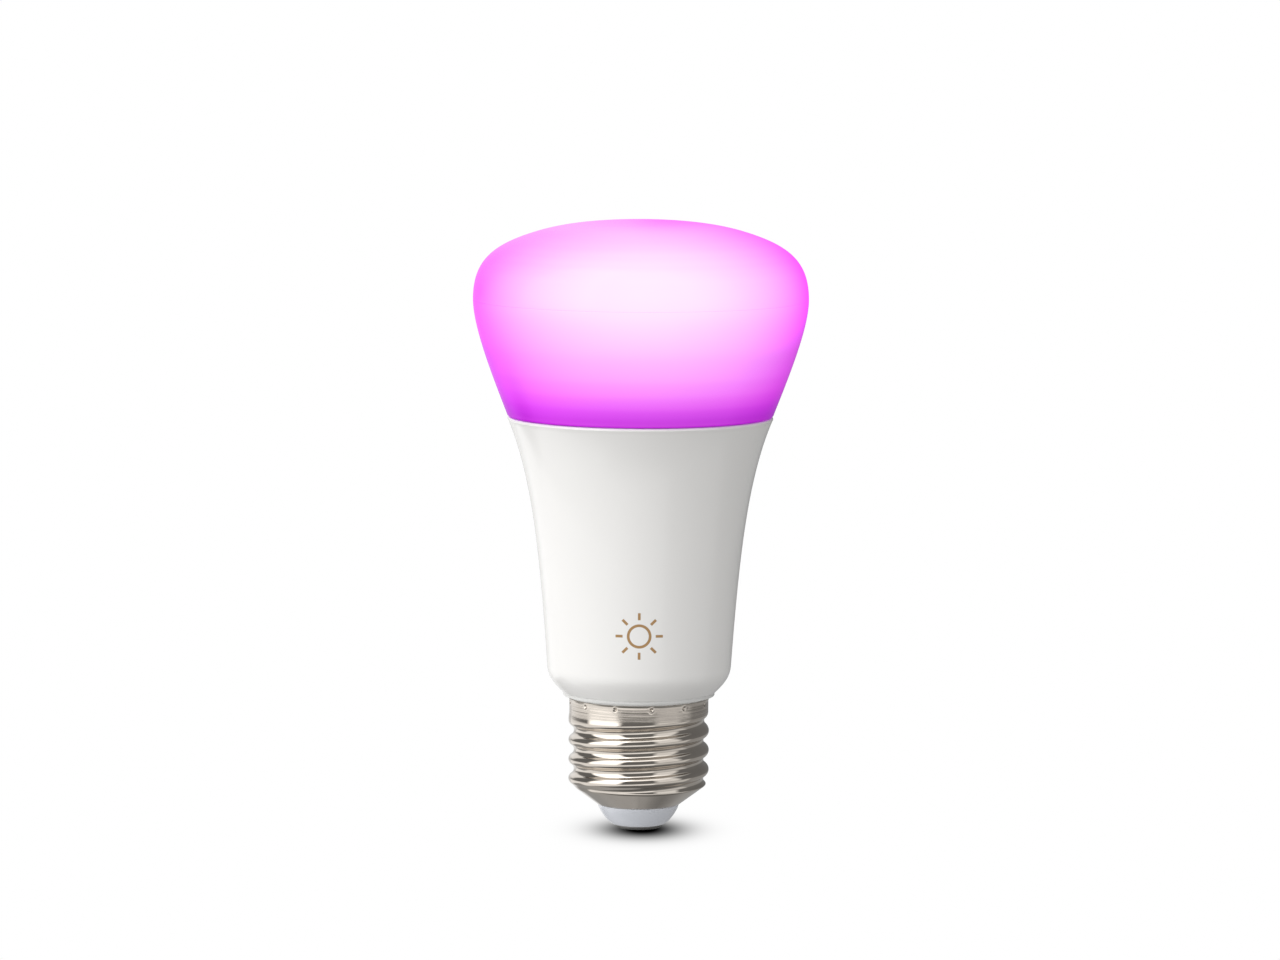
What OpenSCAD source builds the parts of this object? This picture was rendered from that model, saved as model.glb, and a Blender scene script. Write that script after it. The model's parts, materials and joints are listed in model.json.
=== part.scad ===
// Smart light bulb with an E26 screw cap. All sizes are in millimetres.
// The origin is the middle of the centre contact's face, +Z runs up the bulb, and -Y is its front.

/* [Overall] */
// Height from the centre contact to the top of the dome
bulb_h = 113; // [112.5:0.5:114]
// Diameter at the widest place
bulb_d = 62; // [61.5:0.5:63]

/* [Diffuser] */
// Height of the parting line between the two diffuser shells
parting_z = 98.4; // [98:0.1:99]
// Open height of the parting line
parting_gap = 0.1; // [0.05:0.05:0.15]
// Wall of the diffuser shells
diffuser_wall = 1.5; // [1.3:0.1:1.7]
// Radius at which the flat crown turns into the shoulder
crown_r = 19.4; // [19:0.2:20]

/* [Housing] */
// Height of the housing's top face
rim_z = 76.75; // [76.65:0.05:76.85]
// Outer radius of the rim
rim_r = 24.55; // [24.4:0.05:24.7]
// Wall of the housing
housing_wall = 1.3; // [1.2:0.05:1.4]
// Radius at the foot of the flare
waist_r = 17.07; // [16.9:0.05:17.2]

/* [Screw cap] */
// Diameter over the thread's crests
thread_d = 26.1; // [26:0.05:26.2]
// Depth of the thread
thread_depth = 1.0; // [0.9:0.05:1.1]
// Rise of the thread in one turn, seven turns to the inch
thread_pitch = 3.629; // [3.629]
// Thickness of the shell's sheet metal
sheet = 0.3; // [0.25:0.05:0.3]
// Height of the shell's top edge
shell_top_z = 24.4; // [24.3:0.05:24.5]
// Number of punch marks under the shell's top edge
punch_marks = 12; // [6:1:16]

/* [Electronics] */
// Number of LED packages of each of the five colours
leds_per_colour = 3; // [2:1:3]
// Radius of the ring of LED packages
led_ring_r = 15.5; // [15:0.25:16.5]
// Width of the driver board
board_w = 25; // [23:0.5:25]

/* [Hidden] */
$fn = 96;

// Clearance between pieces that slide together
fit = 0.1;

// Diffuser
wide_r = bulb_d / 2;
crown_z = bulb_h - 2.23;
crown_tilt = 17;
seal_h = 0.1;
foot_z = rim_z + seal_h;
foot_r = 24.2;
tongue_h = 1.4;
tongue_t = 0.7;
spigot_r = 22.7;
spigot_t = 1.3;
spigot_z = 74.4;
snap_z = 75.2;
snap_h = 0.2;

// Housing and the pieces nested in it
rim_lip_h = 0.5;
rim_edge_r = 0.35;
flare_top_z = rim_z - 0.65;
flare_foot_z = 30.4;
collar_z = 25.5;
collar_r = 14.05;
collar_h = 0.7;
groove_r = 12.9;
mouth_r = 13.2;
ledge_z = 74.2;
spreader_t = 0.9;
spreader_r = 21.3;
spreader_bottom_z = 31;
plate_z = 73.6;
plate_t = 1.4;
pad_t = 0.4;
sleeve_t = 1.2;
rib_t = 1;
sleeve_top_z = 69.5;
neck_r = 11.6;
neck_in_r = 10.4;
neck_bottom_z = 8.35;

// Thread shell
crest_r = thread_d / 2;
first_root_z = 9.07;
fade_from = 1060;
fade_to = 1160;
band_r = 12.92;
band_z = 21.6;
band_inset = 0.05;
lip_from_z = 23.65;
lip_r = 13.15;
shell_bottom_z = 4.45;
shell_bottom_r = 7.75;
cone_slope = 1.34;
shell_columns = 56;
shell_rows = 41;
punch_r = 0.45;
punch_depth = 0.15;
punch_turn = 10.4;
punch_drop = 0.8;

// Cap tip
contact_r = 4.5;
contact_face_r = 4.0;
contact_t = 0.6;
stem_r = 1.5;
stem_top_z = 7.6;
insulator_top_z = 6.9;

// Boards
pad_z = plate_z + plate_t;
led_board_z = pad_z + pad_t;
led_board_t = 1.6;
led_board_r = 21;
led_top_z = led_board_z + led_board_t;
led_w = 3;
led_kinds = 5;
screw_ring_r = 10;
screw_count = 3;
screw_r = 1.2;
screw_head_r = 2.2;
screw_head_h = 1.6;
screw_bottom_z = 71;
boss_bottom_z = 71.4;
radio_w = 12;
radio_t = 1;
radio_z = 62;
radio_top_z = 94;
slot_w = 13.4;
slot_t = 2.2;
board_y = 2.4;
board_t = 1.6;
board_back_y = board_y + board_t;
board_bottom_z = 12;
board_top_z = 67;
tongue_w = 18;
shoulder_z = 31.5;

// Points of a cubic curve with the handles b and c
function curve(a, b, c, d, n) = [
    for (i = [0:n])
        let (t = i / n, s = 1 - t)
            s * s * s * a + 3 * s * s * t * b + 3 * s * t * t * c + t * t * t * d
];

// Points of a round stretch about the centre [x, z]
function arc(x, z, r, from, to, n) = [
    for (i = [0:n])
        let (a = from + (to - from) * i / n)
            [x + r * cos(a), z + r * sin(a)]
];

// The outline p moved to its right-hand side by w, kept on the axis or outside it
function inset(p, w) = [
    for (i = [0:len(p) - 1])
        let (d = p[min(i + 1, len(p) - 1)] - p[max(i - 1, 0)], l = norm(d))
            [max(0, p[i][0] + w * d[1] / l), p[i][1] - w * d[0] / l]
];

function reversed(p) = [for (i = [len(p) - 1:-1:0]) p[i]];
function below(p, z) = [for (q = p) if (q[1] < z) q];
function above(p, z) = [for (q = p) if (q[1] > z) q];
function shifted(p, dx) = [for (q = p) [q[0] + dx, q[1]]];

// Outlines, from the top down, as [radius, height]
crown = curve([0, bulb_h], [11, bulb_h],
    [crown_r - 3 * cos(crown_tilt), crown_z + 3 * sin(crown_tilt)], [crown_r, crown_z], 8);
shoulder = curve([crown_r, crown_z],
    [crown_r + 8.2 * cos(crown_tilt), crown_z - 8.2 * sin(crown_tilt)],
    [wide_r, parting_z + 7.2], [wide_r, parting_z], 16);
dome_line = concat(crown, [for (i = [1:len(shoulder) - 1]) shoulder[i]]);
skirt_line = curve([wide_r, parting_z], [wide_r, parting_z - 4.9], [27.68, 84.9], [24.75, 77.4], 18);
flare_line = curve([rim_r - 0.1, flare_top_z], [19.84, 65.1], [18.43, 49.8],
    [waist_r, flare_foot_z], 22);
bottom_line = curve([waist_r, flare_foot_z], [16.95, 28.6], [16.3, 27.5], [14.25, collar_z], 10);
cavity_line = inset(flare_line, housing_wall);
cavity_foot = curve([waist_r - housing_wall, flare_foot_z], [15.6, 29.3], [15.0, 28.2],
    [mouth_r, 26.6], 8);

module turned(points) {
    rotate_extrude() polygon(points);
}

// A box given by its middle and its size
module block(middle, size) {
    translate(middle) cube(size, center = true);
}

// A rectangle with round corners
module soft_rectangle(w, h, r) {
    square([w, h - 2 * r], center = true);
    square([w - 2 * r, h], center = true);
    for (x = [-1, 1])
        for (y = [-1, 1])
            translate([x * (w / 2 - r), y * (h / 2 - r)]) circle(r = r, $fn = 32);
}

module diffuser_dome() {
    edge_z = parting_z + parting_gap / 2;
    inner = above(inset(dome_line, diffuser_wall), edge_z);
    tongue_r = wide_r - diffuser_wall + tongue_t;
    color("violet") turned(concat(
        above(dome_line, edge_z),
        [[wide_r, edge_z], [tongue_r, edge_z], [tongue_r, parting_z - tongue_h],
        [tongue_r - tongue_t, parting_z - tongue_h], [tongue_r - tongue_t, edge_z]],
        reversed(inner)));
}

module diffuser_skirt() {
    edge_z = parting_z - parting_gap / 2;
    step_z = parting_z - tongue_h - fit;
    groove_r = wide_r - diffuser_wall + tongue_t + fit / 2;
    inner = below(above(inset(skirt_line, diffuser_wall), foot_z + 1.4), step_z);
    color("orchid") turned(concat(
        [[groove_r, edge_z], [wide_r - 0.05, edge_z]],
        below(skirt_line, edge_z - 0.1),
        curve([24.75, 77.4], [24.68, 77.15], [24.6, foot_z], [foot_r, foot_z], 4),
        [[spigot_r, foot_z], [spigot_r, snap_z + snap_h], [spigot_r + snap_h, snap_z],
        [spigot_r, snap_z - snap_h], [spigot_r, spigot_z], [spigot_r - spigot_t, spigot_z],
        [spigot_r - spigot_t, foot_z]],
        reversed(inner),
        [[groove_r, step_z]]));
}

// Silicone bead between the diffuser and the housing
module seal_ring() {
    color("gainsboro") turned([[spigot_r + 0.2, rim_z], [23.9, rim_z], [23.9, foot_z],
        [spigot_r + 0.2, foot_z]]);
}

module housing() {
    recess_r = spigot_r + fit;
    color("white") turned(concat(
        [[recess_r, rim_z]],
        arc(rim_r - rim_edge_r, rim_z - rim_edge_r, rim_edge_r, 90, 0, 4),
        [[rim_r, rim_z - rim_lip_h]],
        flare_line,
        [for (i = [1:len(bottom_line) - 1]) bottom_line[i]],
        [[mouth_r, collar_z]],
        reversed(cavity_foot),
        reversed(above(below(cavity_line, ledge_z - 0.3), flare_foot_z + 0.2)),
        [[spigot_r - 0.3, ledge_z], [recess_r, ledge_z], [recess_r, snap_z - snap_h],
        [recess_r + snap_h, snap_z], [recess_r, snap_z + snap_h]]));
}

// Insulating tube that holds the driver, with the collar and the neck for the shell
module driver_sleeve() {
    outer = shifted(below(above(cavity_line, 32), sleeve_top_z), -2 * fit - spreader_t);
    inner = shifted(outer, -sleeve_t);
    top_r = outer[0][0] + 0.25;
    rib_y = [board_y - fit - rib_t / 2, board_back_y + fit + rib_t / 2];
    color("whitesmoke") {
        turned(concat(
            [[top_r - sleeve_t, sleeve_top_z], [top_r, sleeve_top_z]],
            outer,
            [[14.6, spreader_bottom_z], [14.6, 28.8], [mouth_r - fit, 26.9],
            [mouth_r - fit, collar_z], [collar_r, collar_z], [collar_r, collar_z - collar_h],
            [groove_r, collar_z - collar_h], [groove_r, shell_top_z], [12.5, shell_top_z], [12.5, band_z + 0.6], [neck_r, band_z - 0.4],
            [neck_r, neck_bottom_z], [neck_in_r, neck_bottom_z], [neck_in_r, 24.2], [13.4, 29.6],
            [13.4, spreader_bottom_z]],
            reversed(inner)));
        intersection() {
            for (side = [-1, 1])
                for (y = rib_y)
                    block([side * (board_w / 2 + 2), y, 48], [5, rib_t, 28]);
            turned(concat(
                [[0, 62], [inner[5][0] + 0.3, 62]],
                shifted(below(outer, 62), -sleeve_t / 2),
                [[13.9, spreader_bottom_z], [0, spreader_bottom_z]]));
        }
    }
}

// How much of the top groove is left at a turn counted along the thread
function groove_left(turn) =
    let (t = min(1, max(0, (fade_to - turn) / (fade_to - fade_from))))
        t * t * (3 - 2 * t);

// Depth below the crest at a height h above a root: two equal arcs that meet halfway
function groove_depth(h) =
    let (p = thread_pitch / 4, r = (p * p + pow(thread_depth / 2, 2)) / thread_depth,
        d = min(abs(h), 2 * p))
        d < p ? thread_depth - r + sqrt(r * r - d * d) : r - sqrt(r * r - pow(2 * p - d, 2));

// The smaller of a and b, with a round change between them
function soft_min(a, b, k) =
    let (h = min(1, max(0, 0.5 + 0.5 * (b - a) / k)))
        b + (a - b) * h - k * h * (1 - h);

// Outer radius of the shell at an angle and a height
function shell_r(angle, z) =
    let (turns = round((z - first_root_z) / thread_pitch - angle / 360),
        h = z - first_root_z - thread_pitch * (turns + angle / 360),
        depth = groove_depth(h) * groove_left(360 * turns + angle),
        rise = min(1, max(0, (z - band_z + 1.2) / 1)),
        envelope = crest_r + (band_r - band_inset - crest_r) * rise,
        cone = shell_bottom_r + cone_slope * (z - shell_bottom_z))
        soft_min(envelope - depth, cone, 0.5);

module screw_shell() {
    top_z = band_z + 0.1;
    grid = [
        for (inner = [0, 1])
            for (row = [0:shell_rows])
                for (column = [0:shell_columns - 1])
                    let (a = 360 * column / shell_columns,
                        z = shell_bottom_z + (top_z - shell_bottom_z) * row / shell_rows,
                        r = shell_r(a, z) - inner * sheet)
                        [r * cos(a), r * sin(a), z]
    ];
    layer = shell_columns * (shell_rows + 1);
    last = shell_columns * shell_rows;
    walls = [
        for (row = [0:shell_rows - 1])
            for (column = [0:shell_columns - 1])
                let (next = (column + 1) % shell_columns,
                    a = row * shell_columns + column, b = row * shell_columns + next,
                    c = b + shell_columns, d = a + shell_columns)
                    each [[a, c, b], [a, d, c], [layer + a, layer + b, layer + c],
                        [layer + a, layer + c, layer + d]]
    ];
    ends = [
        for (a = [0:shell_columns - 1])
            let (b = (a + 1) % shell_columns)
                each [[a, b, layer + b], [a, layer + b, layer + a],
                    [last + a, last + layer + b, last + b],
                    [last + a, last + layer + a, last + layer + b]]
    ];
    color("tan") difference() {
        union() {
            polyhedron(points = grid, faces = concat(walls, ends), convexity = 8);
            turned([[band_r - sheet, band_z], [band_r, band_z], [band_r, lip_from_z],
                [lip_r, shell_top_z], [lip_r - sheet, shell_top_z], [band_r - sheet, lip_from_z]]);
        }
        for (i = [0:punch_marks - 1])
            rotate([0, 0, i * 360 / punch_marks - 90 + punch_turn])
                translate([band_r + punch_r - punch_depth, 0, shell_top_z - punch_drop])
                    sphere(r = punch_r, $fn = 24);
    }
}

module cap_insulator() {
    rise = insulator_top_z - 0.8 - shell_bottom_z;
    inner_r = shell_bottom_r - sheet - fit;
    color("aliceblue") turned(concat(
        [[stem_r + fit, contact_t], [4.6, contact_t]],
        reversed(curve([7.55, 4.35], [7.35, 3.2], [5.8, 0.95], [4.8, contact_t + 0.02], 9)),
        [[inner_r, 4.38], [inner_r, 4.6], [inner_r + cone_slope * rise - 0.3, insulator_top_z - 0.8],
        [8.6, insulator_top_z], [stem_r + fit, insulator_top_z]]));
}

module centre_contact() {
    color("silver") turned(concat(
        [[0, 0], [contact_face_r, 0]],
        arc(contact_face_r, 0.5, 0.5, -60, 0, 4),
        [[contact_r, contact_t], [stem_r, contact_t], [stem_r, stem_top_z - 0.3],
        [stem_r - 0.3, stem_top_z], [0, stem_top_z]]));
}

// Places things at the screws that hold the LED board
module at_screws() {
    for (i = [0:screw_count - 1])
        rotate([0, 0, 90 + 360 * i / screw_count])
            translate([screw_ring_r, 0, 0]) children();
}

module heat_spreader() {
    outer = shifted(below(above(cavity_line, spreader_bottom_z), 70.6), -fit);
    foot = [waist_r - housing_wall - fit, spreader_bottom_z];
    color("lightgray") difference() {
        union() {
            turned(concat(
                [[0, plate_z + plate_t], [spreader_r, plate_z + plate_t],
                [spreader_r, plate_z - 2.4]],
                outer,
                [foot, foot - [spreader_t, 0]],
                reversed(shifted(outer, -spreader_t)),
                [[spreader_r - spreader_t, plate_z - 2.4], [spreader_r - spreader_t, plate_z],
                [0, plate_z]]));
            at_screws() translate([0, 0, boss_bottom_z])
                cylinder(r = 2.4, h = plate_z - boss_bottom_z + 0.2);
        }
        block([0, 0, plate_z], [slot_w, slot_t, 8]);
        at_screws() translate([0, 0, boss_bottom_z - 1]) cylinder(r = screw_r + 0.05, h = 6, $fn = 48);
    }
}

module thermal_pad() {
    color("lightblue") difference() {
        translate([0, 0, pad_z]) cylinder(r = led_board_r - 0.4, h = pad_t);
        block([0, 0, pad_z], [slot_w, slot_t, 4]);
        at_screws() translate([0, 0, pad_z - 1]) cylinder(r = 1.6, h = 3, $fn = 48);
    }
}

module led_board() {
    color("ivory") difference() {
        translate([0, 0, led_board_z]) cylinder(r = led_board_r, h = led_board_t);
        block([0, 0, led_board_z], [radio_w + 0.6, radio_t + 0.4, 6]);
        at_screws() translate([0, 0, led_board_z - 1]) cylinder(r = 1.4, h = 4, $fn = 48);
    }
}

// The LED packages of one colour, evenly spread around the ring
module leds(first) {
    step = 360 / (leds_per_colour * led_kinds);
    for (i = [0:leds_per_colour - 1])
        rotate([0, 0, (first + i * led_kinds) * step + 6])
            translate([led_ring_r, 0, led_top_z]) {
                translate([-led_w / 2, -led_w / 2, 0]) cube([led_w, led_w, 0.55]);
                translate([0, 0, 0.5]) cylinder(r = 1.2, h = 0.2, $fn = 32);
            }
}

module leds_warm_white() {
    color("khaki") leds(0);
}

module leds_green() {
    color("limegreen") leds(1);
}

module leds_cool_white() {
    color("lemonchiffon") leds(2);
}

module leds_red() {
    color("crimson") leds(3);
}

module leds_blue() {
    color("royalblue") leds(4);
}

module led_board_screws() {
    color("silver") at_screws() difference() {
        union() {
            translate([0, 0, screw_bottom_z]) cylinder(r = screw_r, h = led_top_z - screw_bottom_z + 0.1,
                $fn = 48);
            translate([0, 0, led_top_z]) turned([[0, 0], [screw_head_r, 0],
                [screw_head_r, screw_head_h * 0.6], [screw_head_r * 0.7, screw_head_h],
                [0, screw_head_h]]);
        }
        block([0, 0, led_top_z + screw_head_h], [2.6, 0.5, 1.4]);
        block([0, 0, led_top_z + screw_head_h], [0.5, 2.6, 1.4]);
    }
}

module temperature_sensor() {
    color("dimgray") block([0, -8, led_top_z + 0.4], [1.6, 0.8, 0.8]);
    color("silver") for (side = [-1, 1])
        block([side * 0.95, -8, led_top_z + 0.4], [0.3, 0.8, 0.8]);
}

module radio_board() {
    color("darkgreen") block([0, 0, (radio_z + radio_top_z) / 2],
        [radio_w, radio_t, radio_top_z - radio_z]);
}

module radio_shield() {
    can = [9.6, 2, 9];
    middle = [0, -radio_t / 2 - can[1] / 2, 84];
    color("silver") difference() {
        block(middle, can);
        block(middle + [0, 0.2, 0], can - [0.4, 0, 0.4]);
    }
}

module radio_chip() {
    color("black") block([0, -radio_t / 2 - 0.45, 84], [5, 0.9, 5]);
}

module radio_crystal() {
    color("silver") block([2.5, radio_t / 2 + 0.4, 82], [2.5, 0.8, 3.2]);
}

// Folded strip on the board's free end
module antenna() {
    folds = 5;
    pitch = 2;
    strip = 0.5;
    height = 3.4;
    bottom = 89.6;
    y = -radio_t / 2 - 0.1;
    color("goldenrod") for (i = [0:folds - 1]) {
        x = (i - (folds - 1) / 2) * pitch;
        block([x, y, bottom + height / 2], [strip, 0.2, height]);
        if (i < folds - 1)
            block([x + pitch / 2, y, bottom + (i % 2 == 0 ? height - strip / 2 : strip / 2)],
                [pitch + strip, 0.2, strip]);
    }
}

module sleeve_cover() {
    plug_r = 17.3;
    color("whitesmoke") difference() {
        turned([[0, sleeve_top_z - 1], [plug_r, sleeve_top_z - 1], [plug_r, sleeve_top_z],
            [plug_r + 1.4, sleeve_top_z], [plug_r + 1.4, sleeve_top_z + 0.8],
            [0, sleeve_top_z + 0.8]]);
        block([0, 0, sleeve_top_z], [radio_w + 0.6, radio_t + 0.4, 6]);
    }
}

module driver_board() {
    color("seagreen") difference() {
        union() {
            translate([-tongue_w / 2, board_y, board_bottom_z])
                cube([tongue_w, board_t, shoulder_z - board_bottom_z + 1]);
            translate([-board_w / 2, board_y, shoulder_z])
                cube([board_w, board_t, board_top_z - shoulder_z]);
        }
        for (x = [-10, 10])
            translate([x, board_y - 1, 54]) rotate([-90, 0, 0]) cylinder(r = 1, h = 4, $fn = 32);
    }
}

// Places things at the five pins between the driver board and the radio board
module at_pins() {
    for (i = [-2:2])
        translate([i * 2, 0, 64.5]) children();
}

module pin_header() {
    color("black") difference() {
        block([0, 1.45, 64.5], [11.4, 1.7, 2.2]);
        at_pins() block([0, 1.45, 0], [0.7, 4, 0.7]);
    }
}

module board_pins() {
    color("gold") at_pins() block([0, (radio_t / 2 + board_y) / 2, 0],
        [0.6, board_y - radio_t / 2 - 0.02, 0.6]);
}

// Transformer, about the middle of its core
transformer_at = [0, -4.2, 48.5];
core_size = [16, 5, 14];
leg_w = 4;
window_w = 3.7;
window_h = 9.8;
bobbin_flange = [11, 10.6, 0.7];

module transformer_core() {
    color("dimgray") translate(transformer_at) for (half = [-1, 1])
        difference() {
            block([0, 0, half * (core_size[2] / 4 + 0.025)],
                [core_size[0], core_size[1], core_size[2] / 2 - 0.05]);
            for (side = [-1, 1])
                block([side * (leg_w + window_w) / 2, 0, 0], [window_w, core_size[1] + 1, window_h]);
        }
}

module transformer_bobbin() {
    tube = [leg_w + 1.3, core_size[1] + 1.3];
    flange_z = window_h / 2 - bobbin_flange[2] / 2 - 0.1;
    color("wheat") translate(transformer_at) difference() {
        union() {
            block([0, 0, 0], [tube[0], tube[1], window_h - 0.3]);
            for (end = [-1, 1])
                block([0, 0, end * flange_z], bobbin_flange);
        }
        block([0, 0, 0], [leg_w + 0.15, core_size[1] + 0.15, 14]);
    }
}

module transformer_winding() {
    turns_h = window_h - 2 * bobbin_flange[2] - 0.4;
    color("darkorange") translate(transformer_at + [0, 0, -turns_h / 2])
        linear_extrude(turns_h) difference() {
            soft_rectangle(10.6, 10.2, 1.6);
            square([leg_w + 1.45, core_size[1] + 1.45], center = true);
        }
}

module transformer_pins() {
    reach = board_y - transformer_at[1] - bobbin_flange[1] / 2;
    flange_z = window_h / 2 - bobbin_flange[2] / 2 - 0.1;
    color("silver") for (end = [-1, 1])
        for (i = [-1.5:1:1.5])
            translate(transformer_at + [i * 3, bobbin_flange[1] / 2, end * flange_z])
                rotate([-90, 0, 0]) cylinder(r = 0.3, h = reach, $fn = 24);
}

// Electrolytic capacitor that stands on its lead end, with the groove near its base
module capacitor_can(r, h) {
    turned(concat(
        [[0, 0], [r - 0.3, 0], [r, 0.3], [r, 1.2], [r - 0.35, 1.6], [r, 2]],
        arc(r - 0.5, h - 0.5, 0.5, 0, 90, 4),
        [[r - 1.2, h], [r - 1.3, h - 0.2], [0, h - 0.2]]));
}

// A lead that leaves a can's base and turns into the board
module capacitor_lead(x, y, z, drop, reach) {
    r = 0.3;
    translate([x, y, z - drop + 1]) cylinder(r = r, h = drop - 1, $fn = 24);
    translate([x, y + 1, z - drop + 1]) rotate([90, 0, -90])
        rotate_extrude(angle = 90, $fn = 48) translate([1, 0]) circle(r = r, $fn = 24);
    translate([x, y + 1, z - drop]) rotate([-90, 0, 0]) cylinder(r = r, h = reach - 1, $fn = 24);
}

module input_capacitor() {
    r = 4;
    y = board_y - r - 0.2;
    color("midnightblue") translate([0, y, 29]) mirror([0, 0, 1]) capacitor_can(r, 15);
    color("silver") for (x = [-1.25, 1.25])
        translate([0, 0, 58]) mirror([0, 0, 1])
            capacitor_lead(x, y, 29, 1.6, board_y - y);
}

module output_capacitors() {
    r = 3.15;
    y = board_y - r - 0.2;
    for (side = [-1, 1]) {
        color("midnightblue") translate([side * 9.6, y, 57.6]) capacitor_can(r, 10.4);
        color("silver") for (x = [-1, 1])
            capacitor_lead(side * 9.6 + x, y, 57.6, 1.3, board_y - y);
    }
}

module film_capacitor() {
    size = [9, 5, 7.5];
    color("gold") translate([6.5, board_y - 0.4 - size[1] / 2, 36]) rotate([90, 0, 0])
        translate([0, 0, -size[1] / 2]) linear_extrude(size[1]) soft_rectangle(size[0], size[2], 0.5);
    color("silver") for (x = [-2.5, 2.5])
        translate([6.5 + x, board_y - 0.4, 36]) rotate([-90, 0, 0]) cylinder(r = 0.3, h = 0.4, $fn = 24);
}

// Drum-core choke, its axis square to the board
choke_at = [-6.4, board_y - 0.2, 36.5];
choke_r = 4;
choke_h = 8;

module choke_core() {
    color("dimgray") translate(choke_at) rotate([90, 0, 0]) turned([[0, 0], [choke_r, 0],
        [choke_r, 1], [1.6, 1], [1.6, choke_h - 1], [choke_r, choke_h - 1], [choke_r, choke_h],
        [0, choke_h]]);
}

module choke_winding() {
    color("peru") translate(choke_at) rotate([90, 0, 0]) turned([[1.65, 1.05], [choke_r - 0.4, 1.05],
        [choke_r - 0.4, choke_h - 1.05], [1.65, choke_h - 1.05]]);
}

// A moulded package on the board's back, with a row of legs on both sides
module package(x, z, size, legs, leg_pitch) {
    color("black") block([x, board_back_y + 0.1 + size[1] / 2, z], size);
    color("silver") for (side = [-1, 1])
        for (i = [0:legs - 1])
            block([x + (i - (legs - 1) / 2) * leg_pitch, board_back_y + 0.25,
                z + side * (size[2] / 2 + 0.4)], [0.5, 0.5, 0.82]);
}

module bridge_rectifier() {
    package(0, 35.5, [5, 2.4, 4.6], 2, 3);
}

module power_switch() {
    package(-5, 44, [6.4, 2.3, 6], 3, 2.28);
}

module control_chip() {
    package(5, 44, [5, 1.5, 3.9], 4, 1.27);
}

module output_diode() {
    package(0, 60, [4.4, 2.2, 2.6], 1, 1);
}

// Axial resistor in the neck, on the line side
module fuse_resistor() {
    r = 1.5;
    y = board_back_y + r + 0.3;
    color("seagreen") translate([0, y, 14]) turned([[0, 0], [r - 0.4, 0], [r, 0.5], [r, 1.6],
        [r - 0.2, 2], [r - 0.2, 7], [r, 7.4], [r, 8.5], [r - 0.4, 9], [0, 9]]);
    color("silver") {
        translate([0, y, 13.2]) cylinder(r = 0.35, h = 0.9, $fn = 24);
        translate([0, y, 22.9]) cylinder(r = 0.35, h = 0.6, $fn = 24);
        translate([0, y - 0.8, 23.5]) rotate([90, 0, 90])
            rotate_extrude(angle = 90, $fn = 48) translate([0.8, 0]) circle(r = 0.35, $fn = 24);
        translate([0, board_back_y, 24.3]) rotate([-90, 0, 0])
            cylinder(r = 0.35, h = y - 0.8 - board_back_y, $fn = 24);
    }
}

// From the contact's stem to the resistor's lead: up, back and up again
module line_wire() {
    r = 0.7;
    bend = 2.6;
    from_z = stem_top_z + 0.02;
    to_y = board_back_y + 1.8;
    color("black") {
        translate([0, bend, from_z]) rotate([90, 0, -90])
            rotate_extrude(angle = 90, $fn = 48) translate([bend, 0]) circle(r = r, $fn = 24);
        translate([0, bend, from_z + bend]) rotate([-90, 0, 0])
            cylinder(r = r, h = to_y - 2 * bend, $fn = 24);
        translate([0, to_y - bend, from_z + 2 * bend]) rotate([-90, 0, -90])
            rotate_extrude(angle = 90, $fn = 48) translate([bend, 0]) circle(r = r, $fn = 24);
    }
}

// From the board's back down the neck and out under its edge to the thread shell
module neutral_wire() {
    r = 0.5;
    bend = 1.5;
    x = 5.5;
    y = board_back_y + 0.9;
    z = 7.75;
    color("white") {
        translate([x, y, z + bend]) cylinder(r = r, h = 9, $fn = 24);
        translate([x + bend, y, z + bend]) rotate([90, 0, 0]) rotate([0, 0, 180])
            rotate_extrude(angle = 90, $fn = 48) translate([bend, 0]) circle(r = r, $fn = 24);
        translate([x + bend, y, z]) rotate([0, 90, 0]) cylinder(r = r, h = 2.8, $fn = 24);
    }
}

diffuser_dome();
diffuser_skirt();
seal_ring();
housing();
driver_sleeve();
screw_shell();
cap_insulator();
centre_contact();
heat_spreader();
thermal_pad();
led_board();
leds_warm_white();
leds_cool_white();
leds_red();
leds_green();
leds_blue();
led_board_screws();
temperature_sensor();
radio_board();
radio_shield();
radio_chip();
radio_crystal();
antenna();
sleeve_cover();
driver_board();
pin_header();
board_pins();
transformer_core();
transformer_bobbin();
transformer_winding();
transformer_pins();
input_capacitor();
output_capacitors();
film_capacitor();
choke_core();
choke_winding();
bridge_rectifier();
power_switch();
control_chip();
output_diode();
fuse_resistor();
line_wire();
neutral_wire();
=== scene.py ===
"""Smart light bulb: its finished surfaces, materials, studio and camera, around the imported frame.

Outlines are worked out in millimetres as (radius, height) and scaled to metres when a mesh is made.
"""
import json
import math
import bpy
import bmesh
from mathutils import Matrix, Vector


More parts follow.
